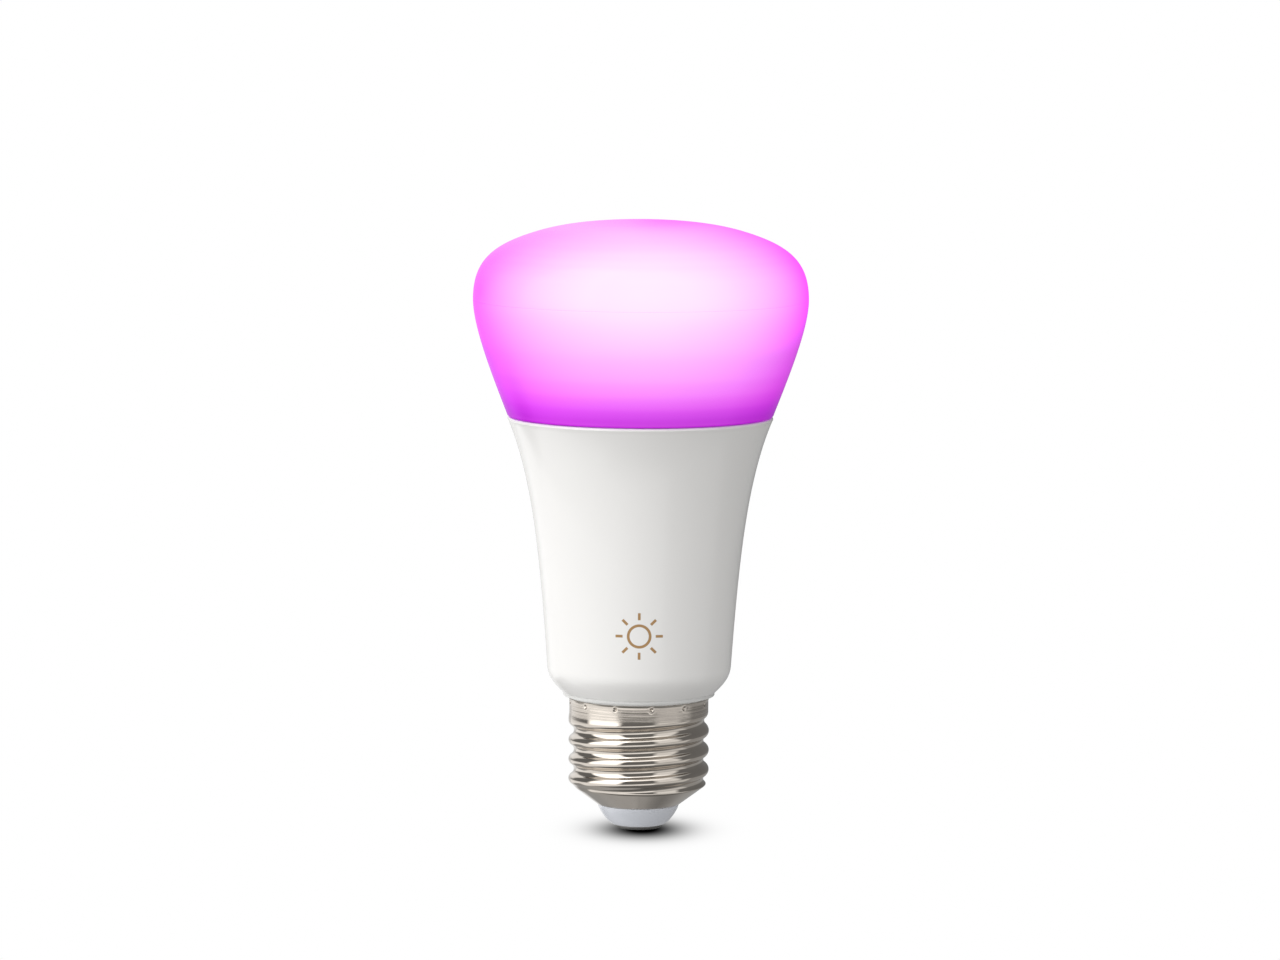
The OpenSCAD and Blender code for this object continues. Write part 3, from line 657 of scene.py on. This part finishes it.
def diffuser_material():
    """Frosted plastic lit from inside: pale and bright above, deep violet at its foot."""
    material, tree, shader = new_material("diffuser_lit")
    plain = coordinates(tree)
    parts = add(tree, "ShaderNodeSeparateXYZ")
    tree.links.new(plain, parts.inputs["Vector"])
    height = spread(tree, parts.outputs["Z"], FOOT_Z * MM, TOP_Z * MM, 0, 1)
    stops = (  # height and the colour seen straight on
        (76.9, (0.38, 0.05, 0.48)), (78.5, (0.44, 0.065, 0.56)), (80.3, (0.60, 0.13, 0.68)),
        (82.6, (0.76, 0.26, 0.78)), (85.5, (0.85, 0.41, 0.85)), (90.5, (1.00, 0.58, 0.98)),
        (97.0, (1.60, 0.76, 1.60)), (103.0, (1.90, 0.87, 2.10)), (105.0, (2.10, 0.95, 2.30)),
        (106.5, (2.20, 1.10, 2.50)), (108.0, (2.30, 1.43, 2.60)), (109.5, (2.40, 1.87, 2.60)),
        (111.0, (2.30, 2.29, 2.50)), (112.2, (2.20, 2.80, 2.40)), (113.0, (1.90, 2.40, 2.00)))
    skin = (0.78, 0.28, 0.84)
    peak = 10.2
    glow = add(tree, "ShaderNodeValToRGB")
    glow.color_ramp.interpolation = "CARDINAL"
    tree.links.new(height, glow.inputs["Fac"])
    for index, (level, colour) in enumerate(stops):
        place = max(0.0, (level - FOOT_Z) / (TOP_Z - FOOT_Z))
        stop = glow.color_ramp.elements[index] if index < 2 else glow.color_ramp.elements.new(place)
        stop.position = place
        stop.color = (*(c / t / peak for c, t in zip(colour, skin)), 1)
    tree.links.new(glow.outputs["Color"], shader.inputs["Emission Color"])
    shader.inputs["Coat Tint"].default_value = (*skin, 1)
    shader.inputs["Emission Strength"].default_value = peak
    fine = noise(tree, plain, 9000, 3)
    tone = mixed(tree, fine, (0.40, 0.045, 0.44), (0.46, 0.055, 0.50))
    tree.links.new(tone, shader.inputs["Base Color"])
    tree.links.new(spread(tree, fine, 0.3, 0.7, 0.16, 0.22), shader.inputs["Roughness"])
    bump(tree, shader, fine, 0.1, 2e-6)
    shader.inputs["IOR"].default_value = 1.7
    shader.inputs["Coat Weight"].default_value = 1.0
    shader.inputs["Coat Roughness"].default_value = 0.25
    shader.inputs["Coat IOR"].default_value = 1.07
    return material


def sun_mark(tree, vector):
    """One on the printed brightness sign, a ring with eight rays on the front, and nothing elsewhere."""
    parts = add(tree, "ShaderNodeSeparateXYZ")
    tree.links.new(vector, parts.inputs["Vector"])
    up = math_node(tree, "SUBTRACT", parts.outputs["Z"], MARK_Z * MM)
    across = parts.outputs["X"]
    squares = [math_node(tree, "MULTIPLY", way, way) for way in (across, up)]
    away = math_node(tree, "SQRT", math_node(tree, "ADD", *squares))
    off_ring = math_node(tree, "ABSOLUTE", math_node(tree, "SUBTRACT", away, MARK_RING_R * MM))
    ring = spread(tree, off_ring, MARK_LINE * MM, (MARK_LINE + MARK_EDGE) * MM, 1, 0)
    turn = math_node(tree, "ARCTAN2", up, across)
    off_ray = math_node(tree, "MULTIPLY", math_node(tree, "PINGPONG", turn, math.pi / 8), away)
    ray = spread(tree, off_ray, MARK_LINE * MM, (MARK_LINE + MARK_EDGE) * MM, 1, 0)
    for limit, inside, outside in ((MARK_RAY_FROM, 0, 1), (MARK_RAY_TO, 1, 0)):
        cut = spread(tree, away, limit * MM, (limit + MARK_EDGE) * MM, inside, outside)
        ray = math_node(tree, "MULTIPLY", ray, cut)
    front = math_node(tree, "LESS_THAN", parts.outputs["Y"], 0)
    return math_node(tree, "MULTIPLY", math_node(tree, "MAXIMUM", ring, ray), front)


def housing_material():
    """Glossy moulded white, with the sign printed on it in matt bronze ink."""
    material, tree, shader = new_material("housing_white")
    plain = coordinates(tree)
    sign = sun_mark(tree, plain)
    peel = noise(tree, plain, 900, 2)
    cloud = noise(tree, plain, 60, 2)
    tone = mixed(tree, cloud, (0.89, 0.88, 0.86), (0.92, 0.91, 0.89))
    tree.links.new(mixed(tree, sign, tone, (0.42, 0.24, 0.09)), shader.inputs["Base Color"])
    gloss = spread(tree, cloud, 0.3, 0.7, 0.06, 0.10)
    tree.links.new(math_node(tree, "MAXIMUM", gloss, math_node(tree, "MULTIPLY", sign, 0.35)),
                   shader.inputs["Roughness"])
    bump(tree, shader, peel, 0.03, 1e-5)
    return material


def nickel_material():
    """Drawn nickel plate: fine lines run around the band, and the thread is polished."""
    material, tree, shader = new_material("nickel_plate")
    plain = coordinates(tree)
    parts = add(tree, "ShaderNodeSeparateXYZ")
    tree.links.new(plain, parts.inputs["Vector"])
    on_band = spread(tree, parts.outputs["Z"], (BAND_Z - 1) * MM, BAND_Z * MM, 0, 1, True)
    lines = noise(tree, coordinates(tree, (40, 40, 3000)), 1, 3, 0.6)
    cloud = noise(tree, plain, 220, 3)
    tone = mixed(tree, spread(tree, cloud, 0.3, 0.7, 0, 1), (0.57, 0.52, 0.465), (0.63, 0.58, 0.52))
    tree.links.new(tone, shader.inputs["Base Color"])
    tree.links.new(spread(tree, on_band, 0, 1, 0.07, 0.16), shader.inputs["Roughness"])
    relief = math_node(tree, "MULTIPLY", lines, spread(tree, on_band, 0, 1, 0.3, 2.5))
    bump(tree, shader, relief, 1.0, 2e-5)
    shader.inputs["Metallic"].default_value = 1.0
    return material


def board_material():
    """Green solder mask with the faint relief of the copper under it."""
    material, tree, shader = new_material("green_board")
    plain = coordinates(tree, (1, 0, 1))
    bricks = add(tree, "ShaderNodeTexBrick")
    bricks.inputs["Scale"].default_value = 300
    bricks.inputs["Mortar Size"].default_value = 0.09
    bricks.inputs["Color1"].default_value = (0.02, 0.16, 0.07, 1)
    bricks.inputs["Color2"].default_value = (0.03, 0.22, 0.10, 1)
    bricks.inputs["Mortar"].default_value = (0.012, 0.10, 0.05, 1)
    tree.links.new(plain, bricks.inputs["Vector"])
    tree.links.new(bricks.outputs["Color"], shader.inputs["Base Color"])
    bump(tree, shader, bricks.outputs["Fac"], 0.3, 3e-5)
    shader.inputs["Roughness"].default_value = 0.32
    return material


def winding_material():
    """Enamelled wire laid in turns."""
    material, tree, shader = new_material("enamelled_wire")
    wave = add(tree, "ShaderNodeTexWave", bands_direction="Z", wave_profile="SIN")
    wave.inputs["Scale"].default_value = 900
    wave.inputs["Distortion"].default_value = 0.3
    tree.links.new(coordinates(tree), wave.inputs["Vector"])
    tone = mixed(tree, wave.outputs["Fac"], (0.22, 0.06, 0.02), (0.62, 0.24, 0.09))
    tree.links.new(tone, shader.inputs["Base Color"])
    bump(tree, shader, wave.outputs["Fac"], 0.6, 6e-5)
    shader.inputs["Metallic"].default_value = 0.7
    shader.inputs["Roughness"].default_value = 0.3
    return material


def can_material():
    """Printed sleeve of a capacitor, with the pale stripe on its negative side."""
    material, tree, shader = new_material("capacitor_sleeve")
    parts = add(tree, "ShaderNodeSeparateXYZ")
    tree.links.new(coordinates(tree), parts.inputs["Vector"])
    front = spread(tree, parts.outputs["Y"], -5.2 * MM, -4.9 * MM, 1, 0)
    tone = mixed(tree, front, (0.02, 0.035, 0.12), (0.55, 0.57, 0.62))
    tree.links.new(tone, shader.inputs["Base Color"])
    fine = noise(tree, coordinates(tree), 2500, 2)
    tree.links.new(spread(tree, fine, 0.3, 0.7, 0.2, 0.3), shader.inputs["Roughness"])
    return material


def led_material(name, resin):
    """A clear or phosphor-filled window in a white package."""
    material, tree, shader = new_material(name)
    parts = add(tree, "ShaderNodeSeparateXYZ")
    tree.links.new(coordinates(tree), parts.inputs["Vector"])
    window = spread(tree, parts.outputs["Z"], (LED_TOP_Z - 0.16) * MM, (LED_TOP_Z - 0.13) * MM, 0, 1)
    tone = mixed(tree, window, (0.82, 0.82, 0.80), resin)
    tree.links.new(tone, shader.inputs["Base Color"])
    fine = noise(tree, coordinates(tree), 3000, 2)
    tree.links.new(spread(tree, fine, 0.3, 0.7, 0.15, 0.35), shader.inputs["Roughness"])
    return material


TIN = (0.68, 0.68, 0.67)
LEAD_MARGIN = 0.02


def tinned(material, name, axis, body_from, body_to):
    """The material again for one piece, with bare tinned leads outside its body's range on one axis."""
    copy = material.copy()
    copy.name = name
    tree = copy.node_tree
    shader = tree.nodes["Principled BSDF"]
    parts = add(tree, "ShaderNodeSeparateXYZ")
    tree.links.new(coordinates(tree), parts.inputs["Vector"])
    middle = (body_from + body_to) / 2
    away = math_node(tree, "ABSOLUTE", math_node(tree, "SUBTRACT", parts.outputs[axis], middle * MM))
    lead = math_node(tree, "GREATER_THAN", away, (body_to - middle + LEAD_MARGIN) * MM)
    coat = shader.inputs["Base Color"].links[0].from_socket
    tree.links.new(mixed(tree, lead, coat, TIN), shader.inputs["Base Color"])
    tree.links.new(lead, shader.inputs["Metallic"])
    return copy


materials = {
    "diffuser": diffuser_material(),
    "white_gloss": housing_material(),
    "nickel": nickel_material(),
    "green_board": board_material(),
    "enamelled_copper": winding_material(),
    "capacitor_sleeve": can_material(),
    "white_plastic": grained("white_plastic", (0.76, 0.76, 0.74), (0.80, 0.80, 0.78), 1500, (0.24, 0.34)),
    "insulator": grained("insulator", (0.68, 0.70, 0.75), (0.72, 0.74, 0.79), 800, (0.10, 0.18)),
    "silicone": grained("silicone", (0.55, 0.50, 0.56), (0.62, 0.58, 0.63), 1200, (0.5, 0.7)),
    # The contact's metal is near black: painted shade, so the tip reads as sitting in the dark shadow on
    # the floor.
    "contact_metal": grained("contact_metal", (0.10, 0.10, 0.095), (0.18, 0.175, 0.17), 700,
                             (0.35, 0.5), 1.0),
    "aluminium": grained("aluminium", (0.70, 0.71, 0.72), (0.80, 0.81, 0.82), 900, (0.3, 0.45), 1.0,
                         stretch=(1, 1, 8)),
    "thermal_pad": grained("thermal_pad", (0.40, 0.52, 0.62), (0.48, 0.60, 0.70), 1500, (0.6, 0.8)),
    "white_solder_mask": grained("white_solder_mask", (0.82, 0.82, 0.80), (0.88, 0.88, 0.86), 700,
                                 (0.25, 0.4)),
    "screw_steel": grained("screw_steel", (0.58, 0.58, 0.60), (0.70, 0.70, 0.72), 1500, (0.25, 0.4), 1.0),
    "ceramic_chip": grained("ceramic_chip", (0.20, 0.17, 0.14), (0.30, 0.26, 0.22), 4000, (0.4, 0.6)),
    "tin_plate": grained("tin_plate", (0.62, 0.62, 0.61), (0.76, 0.76, 0.75), 1500, (0.2, 0.35), 1.0),
    "black_epoxy": grained("black_epoxy", (0.02, 0.02, 0.022), (0.04, 0.04, 0.042), 5000, (0.4, 0.6)),
    "copper": grained("antenna_copper", (0.40, 0.22, 0.07), (0.50, 0.29, 0.10), 3000, (0.3, 0.45), 0.35),
    "gold_plate": grained("gold_plate", (0.80, 0.58, 0.22), (0.88, 0.68, 0.30), 2500, (0.15, 0.3), 1.0),
    "ferrite": grained("ferrite", (0.05, 0.05, 0.055), (0.09, 0.09, 0.10), 2500, (0.5, 0.75), 0.0, 0.3),
    "bobbin_plastic": grained("bobbin_plastic", (0.62, 0.52, 0.30), (0.70, 0.60, 0.38), 1800, (0.35, 0.5)),
    "film_case": grained("film_case", (0.62, 0.42, 0.04), (0.72, 0.50, 0.07), 1500, (0.15, 0.25)),
    "resistor_coat": grained("resistor_coat", (0.06, 0.17, 0.10), (0.10, 0.24, 0.15), 3000, (0.4, 0.55)),
    "wire_black": grained("wire_black", (0.02, 0.02, 0.02), (0.04, 0.04, 0.04), 2500, (0.35, 0.5)),
    "wire_white": grained("wire_white", (0.74, 0.74, 0.72), (0.82, 0.82, 0.80), 2500, (0.35, 0.5)),
    "led_warm_white": led_material("led_warm_white", (0.85, 0.52, 0.10)),
    "led_cool_white": led_material("led_cool_white", (0.85, 0.74, 0.20)),
    "led_red": led_material("led_red", (0.65, 0.05, 0.04)),
    "led_green": led_material("led_green", (0.12, 0.60, 0.15)),
    "led_blue": led_material("led_blue", (0.05, 0.14, 0.65)),
}


# ---------------------------------------------------------------- pieces
# For each piece with leads: the axis that they stick out on, and where its body starts and ends on it
LEADED_BODIES = {chip: ("Z", low(chip).z + LEG_REACH, high(chip).z - LEG_REACH)
                 for chip in ("bridge_rectifier", "power_switch", "control_chip", "output_diode")}
LEADED_BODIES["fuse_resistor"] = ("Z", 14.0, 23.0)
LEADED_BODIES["input_capacitor"] = ("Z", low("input_capacitor").z, 29.0)
LEADED_BODIES["output_capacitors"] = ("Z", 57.6, high("output_capacitors").z)
LEADED_BODIES["film_capacitor"] = ("Y", low("film_capacitor").y, BOARD_Y - 0.4)

EDGE_WIDTHS = {"transformer_core": 0.25, "heat_spreader": 0.15, "sleeve_cover": 0.2, "choke_core": 0.2}


def dress(piece, slot):
    piece.data.materials.clear()
    piece.data.materials.append(materials[slot])


def stand_for(piece, node, slot):
    """The finished piece takes the place of its plain CAD node."""
    dress(piece, slot)
    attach(piece, "root")
    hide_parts(node)


slots = {entry["node"]: entry["material_slot"] for entry in frame["record"]["subparts"]}
stand_for(turned("diffuser_dome_shell", dome_outline(), 256), "diffuser_dome", "diffuser")
stand_for(turned("diffuser_skirt_shell", skirt_outline(), 256), "diffuser_skirt", "diffuser")
stand_for(turned("housing_shell", housing_outline(), 256), "housing", "white_gloss")
stand_for(turned("seal_ring_bead", seal_outline(), 192), "seal_ring", "silicone")
sleeve = turned("driver_sleeve_moulding", sleeve_outline(), 192)
for side in (-1, 1):
    for rib_y in (BOARD_Y - BOARD_PLAY - RIB_T / 2, BOARD_BACK_Y + BOARD_PLAY + RIB_T / 2):
        joined(sleeve, board_rib(side, rib_y))
stand_for(sleeve, "driver_sleeve", "white_plastic")
stand_for(turned("cap_insulator_moulding", insulator_outline(), 160), "cap_insulator", "insulator")
stand_for(turned("centre_contact_rivet", contact_outline(), 96), "centre_contact", "contact_metal")
stand_for(screw_shell(), "screw_shell", "nickel")

for kind, name in enumerate(LED_KINDS):
    packages = None
    for number in range(LEDS_PER_COLOUR):
        turn = LED_START + 2 * math.pi * (kind / len(LED_KINDS) + number) / LEDS_PER_COLOUR
        package = placed(led_package(), Matrix.Rotation(turn, 4, "Z")
                         @ Matrix.Translation((LED_RING_R, 0, 0)))
        packages = joined(packages, package) if packages else package
    packages.name = name + "_lensed"
    stand_for(packages, name, slots[name])

stand_for(bobbin_coil(), "transformer_winding", slots["transformer_winding"])
stand_for(choke_coil(), "choke_winding", slots["choke_winding"])

replaced = {"diffuser_dome", "diffuser_skirt", "housing", "seal_ring", "driver_sleeve", "cap_insulator",
            "centre_contact", "screw_shell", "transformer_winding", "choke_winding", *LED_KINDS}
for name, node in nodes.items():
    if name not in replaced:
        dress(node, slots[name])
        if name in LEADED_BODIES:
            node.data.materials[0] = tinned(materials[slots[name]], name + "_leaded", *LEADED_BODIES[name])
        edges = node.modifiers.new("edges", "BEVEL")
        edges.width = EDGE_WIDTHS.get(name, 0.08) * MM
        edges.segments = 2
        edges.limit_method = "ANGLE"
        edges.angle_limit = math.radians(40)
        edges.harden_normals = True


# ---------------------------------------------------------------- studio
# Size and place of the shadow painted into the floor's glow, in millimetres.
SHADOW_CORE = 2.2
SHADOW_SOFT = 4.9
SHADOW_STRETCH = 1.4
SHADOW_RIGHT = 0.75
SHADOW_AHEAD = 3.2


def plane(name, width, depth):
    vertices = [(-width / 2, -depth / 2, 0), (width / 2, -depth / 2, 0), (width / 2, depth / 2, 0),
                (-width / 2, depth / 2, 0)]
    mesh = bpy.data.meshes.new(name)
    mesh.from_pydata(vertices, [], [(0, 1, 2, 3)])
    piece = bpy.data.objects.new(name, mesh)
    bpy.context.scene.collection.objects.link(piece)
    return piece


def by_ray(tree, seen, bounced, output):
    """One shader for what the camera sees and another for what the object reflects."""
    path = add(tree, "ShaderNodeLightPath")
    choice = add(tree, "ShaderNodeMixShader")
    tree.links.new(path.outputs["Is Camera Ray"], choice.inputs[0])
    tree.links.new(bounced.outputs[0], choice.inputs[1])
    tree.links.new(seen.outputs[0], choice.inputs[2])
    tree.links.new(choice.outputs[0], output.inputs["Surface"])


def floor():
    """A white floor that glows evenly, with one painted soft shadow under the cap, a little to its front
    and right.
    """
    piece = plane("floor", 24, 24)
    material = bpy.data.materials.new("floor_white_painted_shadow")
    material.use_nodes = True
    tree = material.node_tree
    tree.nodes.clear()
    output = add(tree, "ShaderNodeOutputMaterial")
    parts = add(tree, "ShaderNodeSeparateXYZ")
    tree.links.new(coordinates(tree, (1 / MM, 1 / MM / SHADOW_STRETCH, 1)), parts.inputs["Vector"])
    # Painted shadow: the glow fades to dark within a soft ellipse near the cap, and no light is blocked.
    beside = math_node(tree, "SUBTRACT", parts.outputs["X"], SHADOW_RIGHT)
    ahead = math_node(tree, "ADD", parts.outputs["Y"], SHADOW_AHEAD / SHADOW_STRETCH)
    squares = [math_node(tree, "MULTIPLY", way, way) for way in (beside, ahead)]
    away = math_node(tree, "SQRT", math_node(tree, "ADD", *squares))
    beyond = math_node(tree, "MAXIMUM", math_node(tree, "SUBTRACT", away, SHADOW_CORE), 0)
    fall = math_node(tree, "DIVIDE", math_node(tree, "MULTIPLY", beyond, beyond), -2 * SHADOW_SOFT ** 2)
    glow = add(tree, "ShaderNodeEmission")
    lit = math_node(tree, "SUBTRACT", 1, math_node(tree, "EXPONENT", fall))
    tree.links.new(lit, glow.inputs["Strength"])
    tree.links.new(glow.outputs[0], output.inputs["Surface"])
    material.cycles.emission_sampling = "NONE"
    piece.data.materials.append(material)
    piece.visible_diffuse = False
    piece.visible_glossy = False
    piece.visible_transmission = False
    piece.visible_shadow = False


def window(tree, angle, start, end, soft):
    """One between two angles in degrees and nothing outside them, with soft edges."""
    opening = spread(tree, angle, start - soft, start + soft, 0, 1, True)
    closing = spread(tree, angle, end - soft, end + soft, 1, 0, True)
    return math_node(tree, "MULTIPLY", opening, closing)


# Azimuth is counted from the front towards +X and elevation from the horizon, both in degrees.
# Each light is: azimuth from and to, elevation from and to, softness of the edges, radiance.
SKY = ((-90, 0.15), (-55, 0.17), (-35, 0.38), (-13, 0.38), (-6, 0.2), (42, 0.18), (60, 0.95), (90, 1.05))
LIGHTS = (
    (-90, -31, -4, 74, 5, 1.9),
    (-150, -20, 52, 84, 9, 0.5),
    (-40, 40, 50, 80, 9, 0.85),
    (29, 72, -3, 60, 7, 0.83),
    (-188, -140, 4, 40, 7, 0.9),
    (-192, -150, -24, 4, 5, 0.5),
    (-150, -36, -22, -3, 2.5, 0.8),
    (-117, -36, -42, -22, 6, 0.8),
    (-36, 30, -36, -13, 5, 0.9),
    (30, 95, -36, -6, 6, 0.4),
    (-186, -90, -88, -45, 14, 0.32),
    (163, 200, -88, -45, 14, 0.24),
)


def studio_world():
    """Softboxes left and right and a bright ceiling, in a dim room; the backdrop is white to the eye."""
    world = bpy.data.worlds.new("studio")
    bpy.context.scene.world = world
    world.use_nodes = True
    tree = world.node_tree
    tree.nodes.clear()
    output = add(tree, "ShaderNodeOutputWorld")
    source = add(tree, "ShaderNodeTexCoord")
    parts = add(tree, "ShaderNodeSeparateXYZ")
    tree.links.new(source.outputs["Generated"], parts.inputs["Vector"])
    ahead = math_node(tree, "MULTIPLY", parts.outputs["Y"], -1)
    turn = math_node(tree, "DEGREES", math_node(tree, "ARCTAN2", parts.outputs["X"], ahead))
    lift = math_node(tree, "DEGREES", math_node(tree, "ARCSINE", parts.outputs["Z"]))
    sky = add(tree, "ShaderNodeValToRGB")
    for index, (level, tone) in enumerate(SKY):
        place = (level + 90) / 180
        stop = sky.color_ramp.elements[index] if index < 2 else sky.color_ramp.elements.new(place)
        stop.position = place
        stop.color = (tone, tone, tone, 1)
    tree.links.new(spread(tree, lift, -90, 90, 0, 1), sky.inputs["Fac"])
    total = sky.outputs["Color"]
    for left, right, bottom, top, soft, radiance in LIGHTS:
        across = window(tree, turn, left, right, soft)
        shape = math_node(tree, "MULTIPLY", across, window(tree, lift, bottom, top, soft))
        total = math_node(tree, "ADD", total, math_node(tree, "MULTIPLY", shape, radiance))
    room = add(tree, "ShaderNodeBackground")
    tree.links.new(total, room.inputs["Strength"])
    white = add(tree, "ShaderNodeBackground")
    by_ray(tree, white, room, output)
    white.inputs["Color"].default_value = (1, 1, 1, 1)
    room.inputs["Color"].default_value = (1, 1, 1, 1)


EYE_DISTANCE = 1100
EYE_HEIGHT = 182.8
EYE_DOWN = math.radians(6.12)
EYE_ROLL = math.radians(0.3)
EYE_LENS = 168.1


def camera():
    """A long lens in front of the bulb and a little above it, looking slightly down."""
    eye = bpy.data.cameras.new("camera")
    eye.sensor_width = 36
    eye.lens = EYE_LENS
    eye.clip_start = 0.01
    holder = bpy.data.objects.new("camera", eye)
    holder.location = (0, -EYE_DISTANCE * MM, EYE_HEIGHT * MM)
    look = Matrix.Rotation(math.pi / 2 - EYE_DOWN, 4, "X") @ Matrix.Rotation(EYE_ROLL, 4, "Z")
    holder.rotation_euler = look.to_euler()
    bpy.context.scene.collection.objects.link(holder)
    bpy.context.scene.camera = holder


floor()
studio_world()
camera()
bpy.context.scene.view_settings.view_transform = "Standard"
